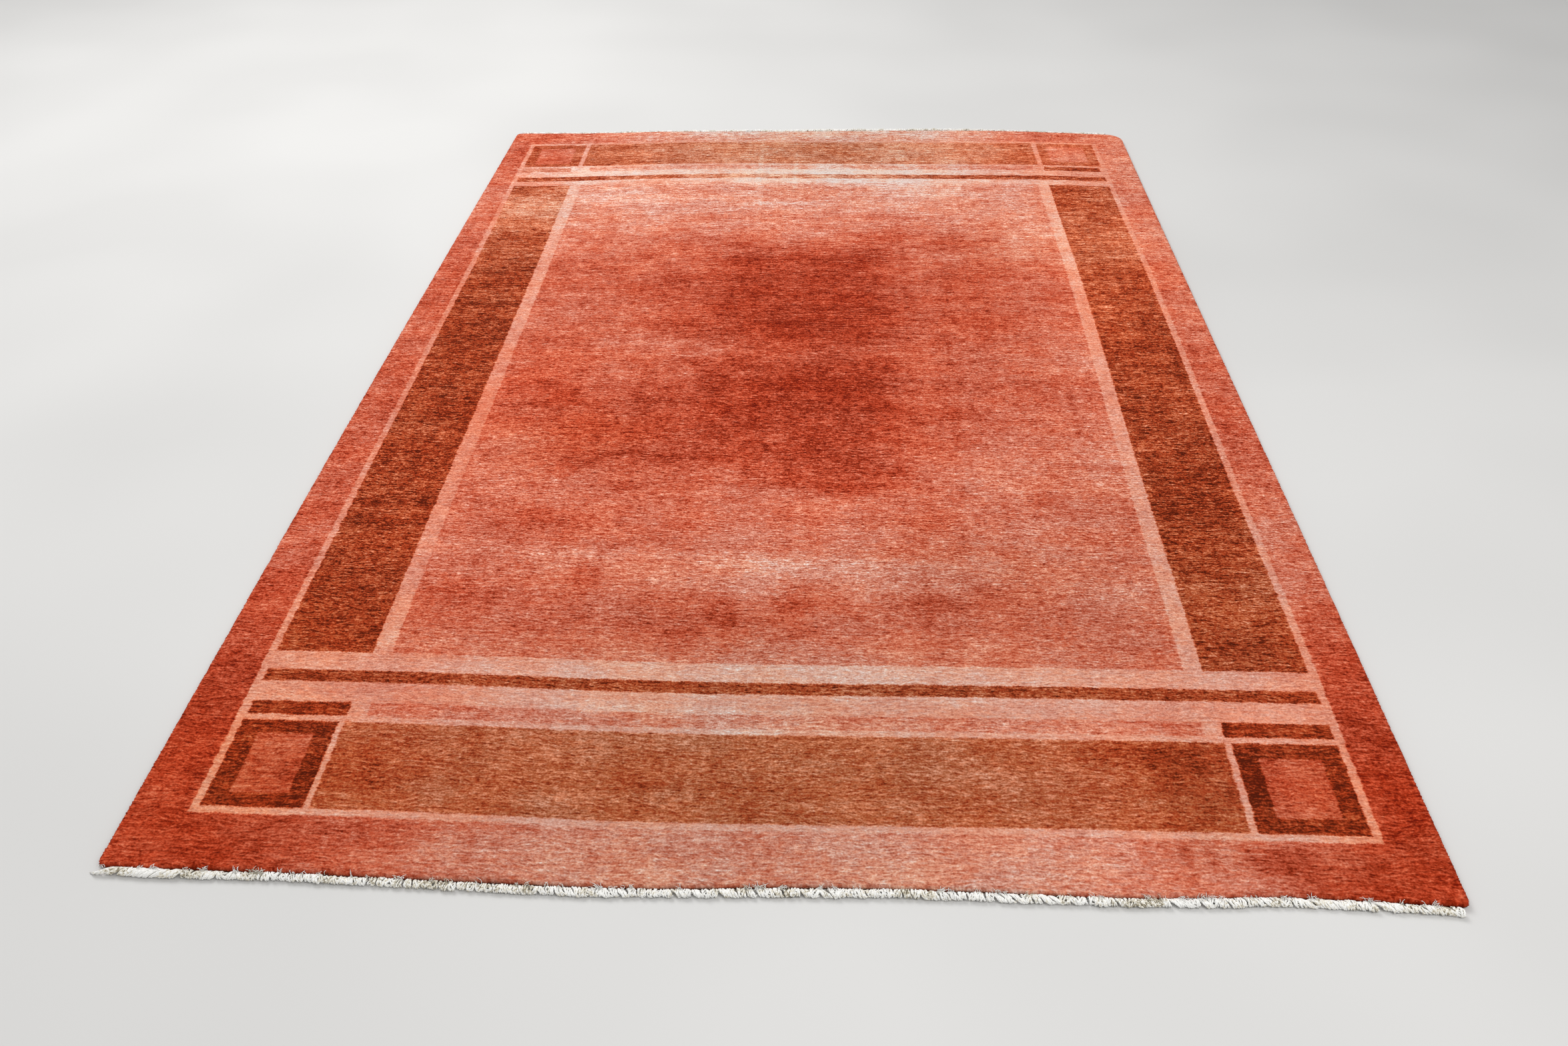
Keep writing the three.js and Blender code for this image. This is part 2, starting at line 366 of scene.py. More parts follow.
# Areas whose colour is greyer, richer or warmer, and what that does to red, green and blue
DULL_AREAS = [
    # x, y, reach_x, reach_y, share
    (-0.1, -1.5, 1.0, 0.75, 0.95),
    (0.1, -0.98, 1.1, 0.45, 0.5),
    # The far end is greyer: partly its dye and partly painted sheen
    (0.0, 1.5, 0.8, 0.7, 0.8),
    (0.7, -0.75, 0.6, 0.6, 0.4),
    (0.3, -0.75, 0.3, 0.25, 0.25),
    (0.66, -1.3, 0.14, 0.2, 0.6),
    (0.8, -1.45, 0.3, 0.14, 0.5),
    (-0.72, 0.9, 0.1, 0.3, 0.3),
]
RICH_AREAS = [
    (-0.95, -1.35, 0.4, 0.4, 0.9),
    (0.98, -1.35, 0.3, 0.35, 0.6),
    (-0.83, -0.98, 0.3, 0.2, 0.4),
    (-0.5, -0.33, 0.3, 0.22, 0.45),
    (0.55, 0.62, 0.3, 0.2, 0.3),
]
WARM_AREAS = [
    (0.8, 0.55, 0.4, 0.95, 1.0),
    (0.8, 1.4, 0.6, 0.3, 0.9),
    (-0.66, -0.2, 0.3, 0.5, 0.5),
    (-0.7, 0.85, 0.2, 0.4, 0.2),
]
TINTS = [
    # red, green and blue, areas
    ((0.8, 1.0, 1.05), DULL_AREAS),
    ((1.02, 0.96, 0.78), RICH_AREAS),
    ((1.12, 0.99, 0.9), WARM_AREAS),
]

# Faint straight creases across the rows
CREASES = [
    # x, y, reach_x, reach_y, paler
    (-0.162, 1.22, 0.014, 0.3, 0.14),
    (-0.05, 1.16, 0.012, 0.28, 0.09),
    (0.28, 1.25, 0.03, 0.3, 0.05),
    (0.3, 0.6, 0.03, 0.7, 0.04),
    (-0.15, 0.95, 0.014, 0.2, 0.06),
]

# Each family's colours from the deepest tone to the palest, as a screen shows them
RED_DYE = [
    # tone, red, green, blue
    (0.0, 122, 22, 6),
    (0.12, 149, 42, 15),
    (0.24, 177, 61, 35),
    (0.36, 198, 83, 56),
    (0.48, 210, 105, 78),
    (0.6, 219, 127, 102),
    (0.72, 230, 149, 124),
    (0.84, 237, 171, 149),
    (0.92, 239, 187, 169),
    (1.0, 240, 208, 194),
]
RUST_DYE = [
    (0.0, 92, 24, 6),
    (0.15, 136, 43, 15),
    (0.26, 168, 60, 29),
    (0.34, 179, 75, 41),
    (0.42, 184, 92, 55),
    (0.53, 205, 113, 80),
    (0.66, 225, 137, 104),
    (1.0, 238, 196, 170),
]

# Layers of noise: strength, cell across and along, seed, and if need be detail and roughness.
# Dyed areas, smudges and knotted lines stray by such layers, first across and then along.
AREA_STRAY = [
    [(0.16, (0.08, 0.01), 3, 2.0), (0.12, (0.16, 0.14), 7, 2.0)],
    [(0.1, (0.12, 0.09), 9, 2.0)],
]
SMUDGE_STRAY = [
    [(0.1, (0.03, 0.007), 51, 2.0)],
    [(0.06, (0.02, 0.015), 53, 2.0)],
]
LINE_STRAY = [
    [(0.006, (0.03, 0.014), 11), (0.0045, (0.004, 0.0035), 15)],
    [(0.005, (0.03, 0.03), 13), (0.0045, (0.0035, 0.004), 17)],
]
MOTTLING = [
    (0.55, (0.06, 0.05), 27, 4.0, 0.95),
    (0.18, (0.9, 0.05), 21),
    (0.1, (0.25, 0.02), 25),
    (0.16, (0.2, 0.13), 33),
    (0.1, (0.035, 0.5), 43),
]

# Patches and knots are cooler or warmer, which changes red, green and blue
PATCH_WARMTH = [(1.4, (0.17, 0.1), 35, 3.0, 0.65)]
KNOT_WARMTH = [(0.8, (0.014, 0.005), 36)]
COOL_CAST = (0.95, 1.03, 1.09)
WARM_CAST = (1.05, 0.97, 0.88)

# Streaks along the rows, and the cut ends of the knots, whose rows lean left or right: the noise of
# each, as cell across and along, seed, detail and roughness
STREAKS = ((0.08, 0.006), 23, 1.0, 0.7)
HAIRLINES = ((0.03, 0.0034), 29, 0.0)
LEANING = ((0.05, 0.03), 45)
LEFT_ROWS = ((0.019, 0.0045), 47, 0.0)
RIGHT_ROWS = ((0.019, 0.0045), 48, 0.0)
LEFT_DASHES = ((0.0068, 0.0031), 37)
RIGHT_DASHES = ((0.0068, 0.0031), 38)
TUFTS = ((0.0034, 0.003), 39)
FLECKS = ((0.0048, 0.0032), 41, 0.0)
CLUMPS = ((0.012, 0.009), 31)
LEFT_LEAN = 0.16
RIGHT_LEAN = -0.12

# Strength of the streaks and of all the grain along the rug: from, to, and strength at each
STREAKS_ALONG = (-0.4, 1.1, 0.3, 0.62)
GRAIN_ALONG = (-1.6, -0.3, 0.68, 1.0)

# What the knots' ends add to the tone, to the painted shade of the colour, which is darker where they
# lie low in the relief, and to the relief
TONE_WEIGHTS = {"rows": 0.45, "dashes": 0.6, "tufts": 0.32, "hairlines": -0.12}
SHADE_WEIGHTS = {"rows": 0.15, "dashes": 0.4, "tufts": 0.45}
RELIEF_WEIGHTS = {"rows": 1.0, "dashes": 2.2, "tufts": 1.5, "hairlines": -0.8, "clumps": 1.2}
BUMP_HEIGHT = 0.0018
GRAIN_IN_TONE = 0.9
GRAIN_IN_SHADE = 0.25
FLECKS_IN_TONE = 0.1

# Knots as the back shows them: pitch across and along, and the height that marks the back
KNOT = (0.0032, 0.0042)
BACK_HEIGHT = -0.001

# Shade on the pile's side: from a lower to an upper height, and the share of light at each
SIDE_SHADE = (0.002, 0.0095, 0.3, 1.0)

# Tufts of the outermost knots, which stand out all round the edge
TUFT_ROWS = [
    # height, inset, turn outwards from upright
    (0.005, 0.0008, math.radians(76)),
    (0.0091, 0.0019, math.radians(46)),
]
TUFT_PITCH = 0.0028
TUFT_LENGTH = 0.0019
TUFT_RADII = (0.0013, 0.0015, 0.0008)
TUFT_SIDES = 4

# Warp ends: the picks of the woven strip, as place out from the pile's edge and phase of the weave,
# and the locks of yarn plaited into one rope. Its middle and half size are measured out and up.
NEAR_STRIP = (-0.992, 0.993)
FAR_STRIP = (-0.988, 0.956)
PICKS = [(0.0012, 0.0), (0.0027, 0.5), (0.0042, 0.0)]
PICK_RADIUS = 0.00085
PICK_STEP = 0.0044
LOCK_PITCH = 0.01325
ROPE_MIDDLE = (0.0083, 0.0042)
ROPE_HALF = (0.0053, 0.0026)
ROPE_WANDER = 0.0013
ROPE_LIFT = 0.0006
FAR_ROPE_RISE = [
    # x, up
    (-0.97, 0.0012),
    (-0.6, 0.0016),
    (-0.15, 0.0034),
    (0.5, 0.0036),
    (0.7, 0.002),
    (0.95, 0.0016),
]
LOCK_TURN = (math.radians(-40), math.radians(235))
LOCK_FULLNESS = 0.93
LOCK_HALF_HEIGHT = 0.0012
LOCK_LEAN = [
    # at, lean to the right
    (-1, -0.018),
    (-0.9, -0.016),
    (-0.78, -0.006),
    (-0.64, -0.003),
    (-0.4, 0.006),
    (0.2, 0.009),
    (0.6, 0.014),
    (1, 0.013),
]
LOOSE_LOCKS = 0.14

# The cotton yarns of the locks, and the loose fibres that stand off them
YARNS_PER_LOCK = 7
YARN_RADIUS = 0.0014
YARN_TWIST = math.radians(210)
YARN_STRAY = 0.0009
YARN_LEAN_STRAY = 0.005
YARN_STEPS = 12
YARN_SIDES = 6
YARN_PLIES = 2
PLY_PITCH = 0.0045
WISP_PLACES = 84
WISPS_PER_PLACE = 5
WISP_LENGTH = 0.0085
WISP_RADIUS = 0.00045
WISP_STEPS = 7
WISP_SIDES = 3

# Camera: the photograph's own standpoint, about 38 degrees above the rug, its turn in degrees, and
# its lens in millimetres for a sensor 36 mm wide
CAMERA_PLACE = (0.0853, -2.6544, 1.5511)
CAMERA_TURN = (52.528, 0.557, 2.424)
CAMERA_LENS = 29.05

# Floor and light: a plain pale floor under two large soft lamps and an even sky
FLOOR_REACH = 14
LAMPS = [
    # name, place, aim, size, power
    ("key_lamp", (-2.2, 2.4, 4.4), (0, 0, 0), 3.0, 175),
    ("fill_lamp", (1.8, -2.6, 3.2), (0, -0.6, 0), 2.4, 52),
]
SKY_STRENGTH = 0.5


def smooth_column(rows, at):
    """Runs smoothly through (place, value) rows and holds the last value beyond them."""
    places, values = np.array(rows, float).T
    secants = np.diff(values) / np.diff(places)
    slopes = np.concatenate([secants[:1], (secants[1:] + secants[:-1]) / 2, secants[-1:]])
    at = np.clip(at, places[0], places[-1])
    i = np.clip(np.searchsorted(places, at, side="right") - 1, 0, len(secants) - 1)
    gap = places[i + 1] - places[i]
    t = (at - places[i]) / gap
    start = (1 + 2 * t) * (1 - t) ** 2 * values[i] + t * (1 - t) ** 2 * gap * slopes[i]
    end = t * t * (3 - 2 * t) * values[i + 1] - t * t * (1 - t) * gap * slopes[i + 1]
    return start + end


def place_on_rug(x, y):
    """Moves points of the nominal rectangle to where the uneven rug has them."""
    across = x / WIDTH
    along = y / LENGTH
    out_right = (0.5 + across) * smooth_column(RIGHT_EDGE, 2 * along)
    out_left = (0.5 - across) * smooth_column(LEFT_EDGE, 2 * along)
    out_far = (0.5 + along) * smooth_column(FAR_EDGE, 2 * across)
    out_near = (0.5 - along) * smooth_column(NEAR_EDGE, 2 * across)
    return x + out_right - out_left, y + out_far - out_near


def round_corners(x, y, inset):
    """Bends the corners of a rectangle, drawn in by an inset, to the rug's corner radii."""
    x, y = x.copy(), y.copy()
    for (side_x, side_y), radius in CORNER_RADIUS.items():
        reach = radius - inset
        if reach <= 0:
            continue
        centre_x = WIDTH / 2 - radius
        centre_y = LENGTH / 2 - radius
        a = (side_x * x - centre_x) / reach
        b = (side_y * y - centre_y) / reach
        inside = (a > 0) & (b > 0)
        a, b = a[inside], b[inside]
        x[inside] = side_x * (centre_x + reach * a * np.sqrt(1 - b * b / 2))
        y[inside] = side_y * (centre_y + reach * b * np.sqrt(1 - a * a / 2))
    return x, y


def pattern_place(x, y):
    """Where a point of the rug lies in the straight pattern."""
    far = np.clip(y / ROWS_STRAY_REACH, 0, 1) * smooth_column(FAR_ROWS_STRAY, x)
    near = np.clip(-y / ROWS_STRAY_REACH, 0, 1) * smooth_column(NEAR_ROWS_STRAY, x)
    right_share = np.clip(0.5 + x / (2 * COLUMNS_STRAY_REACH), 0, 1)
    right = right_share * smooth_column(RIGHT_COLUMNS_STRAY, y)
    left = (1 - right_share) * smooth_column(LEFT_COLUMNS_STRAY, y)
    return x - right - left, y - far - near


def waves(x, y, size, seed):
    """Smooth random heights from -1 to 1 over a lattice of the given size."""
    i = np.floor(x / size).astype(int)
    j = np.floor(y / size).astype(int)
    s = x / size - i
    t = y / size - j
    s = s * s * (3 - 2 * s)
    t = t * t * (3 - 2 * t)
    i = i - i.min()
    j = j - j.min()
    lattice = np.random.default_rng(seed).uniform(-1, 1, (i.max() + 2, j.max() + 2))
    low = lattice[i, j] * (1 - s) + lattice[i + 1, j] * s
    high = lattice[i, j + 1] * (1 - s) + lattice[i + 1, j + 1] * s
    return low * (1 - t) + high * t


class Value:
    """A number worked out by shader nodes. Arithmetic on it adds Math nodes."""

    def __init__(self, shader, socket):
        self.shader = shader
        self.socket = socket

    def __add__(self, other):
        return self.shader.maths("ADD", self, other)

    def __radd__(self, other):
        return self.shader.maths("ADD", other, self)

    def __sub__(self, other):
        return self.shader.maths("SUBTRACT", self, other)

    def __mul__(self, other):
        return self.shader.maths("MULTIPLY", self, other)


class Shader:
    """A material whose nodes are written as short expressions."""

    def __init__(self, name):
        self.material = bpy.data.materials.new(name)
        self.material.use_nodes = True
        self.tree = self.material.node_tree
        self.tree.nodes.clear()

    def node(self, kind, inputs, **settings):
        """Adds a node. Its inputs are numbers, tuples or outputs of other nodes, by socket."""
        node = self.tree.nodes.new("ShaderNode" + kind)
        for name, value in settings.items():
            setattr(node, name, value)
        for name, value in inputs.items():
            if isinstance(value, Value):
                value = value.socket
            if isinstance(value, bpy.types.NodeSocket):
                self.tree.links.new(value, node.inputs[name])
            else:
                node.inputs[name].default_value = value
        return node

    def maths(self, operation, *values):
        node = self.node("Math", dict(enumerate(values)), operation=operation)
        return Value(self, node.outputs[0])

    def vector(self, operation, *values):
        return self.node("VectorMath", dict(enumerate(values)), operation=operation).outputs[0]

    def length(self, vector):
        node = self.node("VectorMath", {0: vector}, operation="LENGTH")
        return Value(self, node.outputs["Value"])

    def attribute(self, name):
        return self.node("Attribute", {}, attribute_name=name).outputs["Vector"]

    def split(self, vector):
        parts = self.node("SeparateXYZ", {0: vector}).outputs
        return [Value(self, part) for part in parts]

    def join(self, x, y, z=0.0):
        return self.node("CombineXYZ", {0: x, 1: y, 2: z}).outputs[0]

    def noise(self, place, cell, seed=0.0, detail=1.0, roughness=0.5, dimensions="2D"):
        """Soft noise round 0, about -0.5 to 0.5, in cells of (across, along) metres."""
        scale = (1 / cell[0], 1 / cell[1], 1 / cell[0])
        shift = (seed, 1.7 * seed, 0.3 * seed)
        moved = self.node("Mapping", {"Vector": place, "Location": shift, "Scale": scale})
        inputs = {"Vector": moved.outputs[0], "Scale": 1.0, "Detail": detail, "Roughness": roughness}
        node = self.node("TexNoise", inputs, noise_dimensions=dimensions)
        return Value(self, node.outputs[0]) - 0.5

    def remap(self, value, low, high, start=0.0, end=1.0):
        """Smooth step from start at low to end at high."""
        inputs = {"Value": value, "From Min": low, "From Max": high, "To Min": start, "To Max": end}
        node = self.node("MapRange", inputs, interpolation_type="SMOOTHSTEP", clamp=False)
        return Value(self, node.outputs[0])

    def mix(self, share, first, second):
        inputs = {"Factor": share, 2: first, 3: second}
        return Value(self, self.node("Mix", inputs, data_type="FLOAT").outputs[0])

    def mix_vector(self, share, first, second):
        node = self.node("Mix", {0: share, 4: first, 5: second}, data_type="VECTOR")
        return node.outputs[1]

    def mix_colour(self, share, first, second, blend="MIX"):
        inputs = {0: share, 6: first, 7: second}
        return self.node("Mix", inputs, data_type="RGBA", blend_type=blend).outputs[2]

    def ramp(self, value, rows):
        """Runs through the colours of (place, red, green, blue) rows."""
        node = self.node("ValToRGB", {0: value})
        elements = node.color_ramp.elements
        while len(elements) < len(rows):
            elements.new(1.0)
        for element, (place, *colour) in zip(elements, rows):
            element.position = place
            element.color = dye(*colour)
        return node.outputs[0]

    def shade(self, colour, share):
        """Darkens or lightens a colour by a share round 1."""
        return self.mix_colour(1.0, colour, self.join(share, share, share), "MULTIPLY")

    def finish(self, surface):
        """Ends the material in a surface with these settings."""
        principled = self.node("BsdfPrincipled", surface)
        self.node("OutputMaterial", {"Surface": principled.outputs[0]})
        return self.material


def dye(red, green, blue):
    """A colour as a screen shows it, 0 to 255, as the shader's linear colour."""
    share = [v / 255 for v in (red, green, blue)]
    return (*(v / 12.92 if v <= 0.04045 else ((v + 0.055) / 1.055) ** 2.4 for v in share), 1.0)


def perimeter(columns, rows):
    """Steps round a grid, counter-clockwise from its first corner, as (column, row) pairs."""
    return np.array(
        [(i, 0) for i in range(columns)]
        + [(columns, j) for j in range(rows)]
        + [(i, rows) for i in range(columns, 0, -1)]
        + [(0, j) for j in range(rows, 0, -1)]
    )


def rug_points(steps, columns, rows, inset):
    """Points of the rug at grid steps, drawn in by an inset."""
    x = (steps[:, 0] / columns - 0.5) * (WIDTH - 2 * inset)
    y = (steps[:, 1] / rows - 0.5) * (LENGTH - 2 * inset)
    return place_on_rug(*round_corners(x, y, inset))


def grid_steps(columns, rows):
    i, j = np.meshgrid(np.arange(columns + 1), np.arange(rows + 1))
    return np.stack([i.ravel(), j.ravel()], axis=1)


def grid_faces(columns, rows, start=0):
    i, j = np.meshgrid(np.arange(columns), np.arange(rows))
    first = start + (j * (columns + 1) + i).ravel()
    return np.stack([first, first + 1, first + columns + 2, first + columns + 1], axis=1)


def rug_mesh():
    """The pile: a fine lumpy top, a rounded edge of stacked rings, and a flat coarse underside."""
    top_x, top_y = rug_points(grid_steps(COLUMNS, ROWS), COLUMNS, ROWS, TOP_INSET)
    relief = sum(height * waves(top_x, top_y, size, seed) for size, height, seed in RELIEF)
    layers = [np.stack([top_x, top_y, THICKNESS + relief], axis=1)]

    rim = perimeter(COLUMNS, ROWS)
    rim_in_top = rim[:, 1] * (COLUMNS + 1) + rim[:, 0]
    for height, inset in reversed(EDGE_SECTION):
        x, y = rug_points(rim, COLUMNS, ROWS, inset)
        if height > 0:
            x = x + sum(size * waves(x, y, cell, seed) for cell, size, seed, _ in EDGE_LUMPS)
            y = y + sum(size * waves(x, y, cell, seed) for cell, size, _, seed in EDGE_LUMPS)
        layers.append(np.stack([x, y, np.full(len(x), height)], axis=1))

    columns = COLUMNS // UNDERSIDE_STEP
    rows = ROWS // UNDERSIDE_STEP
    under_x, under_y = rug_points(grid_steps(columns, rows), columns, rows, UNDERSIDE_INSET)
    layers.append(np.stack([under_x, under_y, np.zeros(len(under_x))], axis=1))

    count = len(rim)
    ring = np.arange(count)
    following = np.roll(ring, -1)
    upper = rim_in_top
    start = len(layers[0])
    faces = list(grid_faces(COLUMNS, ROWS))
    for _ in EDGE_SECTION:
        lower = start + ring
        faces.extend(np.stack([lower, lower[following], upper[following], upper], axis=1))
        upper = lower
        start += count
    top_faces = len(faces)
    faces.extend(grid_faces(columns, rows, start)[:, ::-1])
    coarse = perimeter(columns, rows)
    inner = start + coarse[:, 1] * (columns + 1) + coarse[:, 0]
    for k in range(len(coarse)):
        outer = [upper[(UNDERSIDE_STEP * k + s) % count] for s in range(UNDERSIDE_STEP + 1)]
        faces.append([*reversed(outer), inner[k], inner[(k + 1) % len(inner)]])

    points = np.concatenate(layers)
    mesh = bpy.data.meshes.new("rug_pile")
    mesh.from_pydata(points + (*RUG_MIDDLE, 0), [], [list(face) for face in faces])
    mesh.polygons.foreach_set("use_smooth", np.arange(len(faces)) < top_faces)
    height = points[:, 2].copy()
    height[start:] = BACK_HEIGHT
    add_pattern_place(mesh, points, height)
    add_bake_map(mesh, points, np.concatenate(faces), 4 * top_faces)
    return mesh


def add_pattern_place(mesh, points, height):
    """Gives each point its place in the straight pattern and its height, for the shader."""
    x, y = pattern_place(points[:, 0], points[:, 1])
    places = np.stack([x, y, height], axis=1)
    attribute = mesh.attributes.new("pattern_place", "FLOAT_VECTOR", "POINT")
    attribute.data.foreach_set("vector", places.astype(np.float32).ravel())


def add_bake_map(mesh, points, corners, top_corners):
    """A UV map that gives the top most of the picture, and the underside what is left beside it."""
    underside = np.arange(len(corners)) >= top_corners
    low = points.min(axis=0)[:2]
    size = points.max(axis=0)[:2] - low
    drop = THICKNESS - points[:, 2]
    middle = low + size / 2
    spread = 1 + np.stack([drop, drop], axis=1) / size
    unrolled = middle + (points[:, :2] - middle) * spread - low + 2 * THICKNESS
    total = size[1] + 4 * THICKNESS
    places = unrolled[corners] / total
    shifted = points[corners, :2] - low
    beside = (shifted / 2 + (size[0] + 6 * THICKNESS, 2 * THICKNESS)) / total
    places = np.where(underside[:, None], beside, places)
    mesh.uv_layers.new(name="OFBake").data.foreach_set("uv", places.astype(np.float32).ravel())


def new_object(name, mesh, material):
    """Puts a mesh into the scene with its material."""
    mesh.materials.append(material)
    piece = bpy.data.objects.new(name, mesh)
    bpy.context.scene.collection.objects.link(piece)
    return piece


def oval_place(shader, place, area):
    """A place measured from an area's middle in shares of its reach."""
    x, y, reach_x, reach_y, _ = area
    scale = (1 / reach_x, 1 / reach_y, 0)
    return shader.vector("MULTIPLY_ADD", place, scale, (-x / reach_x, -y / reach_y, 0))


def tone_areas(shader, place, base, areas):
    """A tone that changes softly in oval areas of the rug."""
    tone = base
    for area in areas:
        away = shader.length(oval_place(shader, place, area))
        tone = tone + shader.remap(away, 0.1, 1.0, area[-1], 0.0)
    return tone


def dark_core(shader, place, areas):
    """How much deeper the dye is in squarish areas that run together, with a firmer rim."""
    depth = 0.0
    for area in areas:
        away = oval_place(shader, place, area)
        squared = shader.length(shader.vector("MULTIPLY", away, away))
        depth = shader.maths("MAXIMUM", depth, shader.remap(squared, 0.4, 1.0, area[-1], 0.0))
    return depth


def field_mask(shader, place, limits):
    """1 inside a rectangle of the pattern, 0 outside, with a knot-soft edge."""
    left, right, near, far = limits
    centre = ((left + right) / 2, (near + far) / 2, 0)
    half = ((right - left) / 2, (far - near) / 2, 0)
    away = shader.vector("ABSOLUTE", shader.vector("SUBTRACT", place, centre))
    beyond = shader.split(shader.vector("SUBTRACT", away, half))
    furthest = shader.maths("MAXIMUM", beyond[0], beyond[1])
    return shader.remap(furthest, -LINE_SOFTNESS, LINE_SOFTNESS, 1.0, 0.0)


def noise_sum(shader, place, layers):
    """Layers of noise, one for each row, added up."""
    parts = [shader.noise(place, *layer) * strength for strength, *layer in layers]
    return sum(parts[1:], parts[0])


def weighted_sum(parts, weights):
    """Named values, each times its weight, added up."""
    terms = [parts[name] * weight for name, weight in weights.items()]
    return sum(terms[1:], terms[0])


def strayed(shader, place, layers):
    """A place moved by noise, so that what is dyed there ends unevenly."""
    across, along = layers
    shift = shader.join(noise_sum(shader, place, across), noise_sum(shader, place, along))
    return shader.vector("ADD", place, shift)


def dye_at(shader, area, smudge, line):
    """The dye's share of rust, its tone and its contrast, as the layout and the areas have them."""
    field = tone_areas(shader, area, FIELD_TONE, FIELD_TONES)
    field = tone_areas(shader, smudge, field, SMUDGES) - dark_core(shader, area, FIELD_CORE)
    margin = tone_areas(shader, area, MARGIN_TONE, MARGIN_TONES)
    rust = tone_areas(shader, area, 0.0, RUST_TONES)
    pale = tone_areas(shader, area, 0.0, PALE_TONES)
    dyed = shader.join(0.0, margin, MARGIN_CONTRAST)
    for name, *limits in LAYOUT:
        if name == "field":
            knots = shader.join(0.0, field, FIELD_CONTRAST)
        else:
            share, tone, contrast = DYES[name]
            change = rust if share > 0 else pale
            knots = shader.join(share, change + tone, contrast)
        dyed = shader.mix_vector(field_mask(shader, line, limits), dyed, knots)
    return shader.split(dyed)


def knot_ends(shader, place, across, along):
    """The cut ends of the knots, which lie in rows of short soft dashes that lean either way."""
    leaning = shader.remap(shader.noise(place, *LEANING), -0.1, 0.1)
    left = shader.join(across, along + across * LEFT_LEAN)
    right = shader.join(across, along + across * RIGHT_LEAN)
    rows = shader.noise(left, *LEFT_ROWS), shader.noise(right, *RIGHT_ROWS)
    dashes = shader.noise(left, *LEFT_DASHES), shader.noise(right, *RIGHT_DASHES)
    return {
        "hairlines": shader.remap(shader.noise(place, *HAIRLINES), -0.3, -0.15, 1.0, 0.0),
        "rows": shader.mix(leaning, *rows),
        "dashes": shader.mix(leaning, *dashes),
        "tufts": shader.noise(place, *TUFTS),
        "clumps": shader.noise(place, *CLUMPS),
    }


def tinted(shader, colour, place, area, smudge):
    """A colour made cooler or warmer by patches and knots, and tinted in its areas."""
    warmth = noise_sum(shader, smudge, PATCH_WARMTH) + noise_sum(shader, place, KNOT_WARMTH)
    warmth = shader.remap(warmth, -0.3, 0.3)
    cast = shader.mix_colour(warmth, (*COOL_CAST, 1.0), (*WARM_CAST, 1.0))
    colour = shader.mix_colour(1.0, colour, cast, "MULTIPLY")
    for tint, areas in TINTS:
        share = tone_areas(shader, area, 0.0, areas)
        colour = shader.mix_colour(share, colour, (*tint, 1.0), "MULTIPLY")
    return colour


def wool_material():
    """Knotted wool: the border, the uneven dye with painted sheen at the far end, streaks along the
    rows, the knots' relief, and painted shade on the knots, the pile's sides and the back's beads.
    """
    shader = Shader("wool_pile")
    across, along, height = shader.split(shader.attribute("pattern_place"))
    place = shader.join(across, along)
    area = strayed(shader, place, AREA_STRAY)
    smudge = strayed(shader, place, SMUDGE_STRAY)
    line = strayed(shader, place, LINE_STRAY)
    rust_share, tone, contrast = dye_at(shader, area, smudge, line)

    # The streaks grow stronger towards the far end, and all of the grain is calmer at the near end
    ends = knot_ends(shader, place, across, along)
    streaks = shader.noise(place, *STREAKS) * shader.remap(along, *STREAKS_ALONG)
    calm = shader.remap(along, *GRAIN_ALONG)
    grain = noise_sum(shader, place, MOTTLING) + streaks + weighted_sum(ends, TONE_WEIGHTS)
    grain = grain * contrast * calm
    flecks = shader.remap(shader.noise(place, *FLECKS), 0.2, 0.36)
    tone = tone + grain * GRAIN_IN_TONE + flecks * FLECKS_IN_TONE
    tone = tone_areas(shader, place, tone, CREASES)

    colour = shader.mix_colour(rust_share, shader.ramp(tone, RED_DYE), shader.ramp(tone, RUST_DYE))
    colour = tinted(shader, colour, place, area, smudge)
    # Painted shade: knots' ends that lie low in the relief are darker and those that stand high are
    # lighter; the grain lightens and darkens the colour as well
    depth = weighted_sum(ends, SHADE_WEIGHTS) * calm + grain * GRAIN_IN_SHADE + 1.0
    colour = shader.shade(colour, depth)

    # Painted shade: the sides of the pile darken towards the floor. The back shows each knot as a
    # small even bead, with painted shade where the beads lie low in the relief
    back = shader.remap(height, 0.8 * BACK_HEIGHT, 0.2 * BACK_HEIGHT, 1.0, 0.0)
    side_shade = shader.remap(height, *SIDE_SHADE)
    bead_x = shader.maths("SINE", across * (2 * math.pi / KNOT[0]))
    bead_y = shader.maths("SINE", along * (2 * math.pi / KNOT[1]))
    bead = bead_x * bead_y
    colour = shader.shade(colour, shader.mix(back, side_shade, bead * 0.12 + 0.8))

    relief = shader.mix(back, weighted_sum(ends, RELIEF_WEIGHTS), bead * 0.5)
    bump = shader.node("Bump", {"Strength": 0.6, "Distance": BUMP_HEIGHT, "Height": relief})
    return shader.finish(
        {
            "Base Color": colour,
            "Roughness": 0.95,
            "Specular IOR Level": 0.05,
            "Sheen Weight": 0.04,
            "Sheen Roughness": 0.5,
            "Sheen Tint": dye(255, 160, 115),
            "Normal": bump.outputs[0],
        }
    )


def unit(vectors):
    return vectors / np.linalg.norm(vectors, axis=-1, keepdims=True)


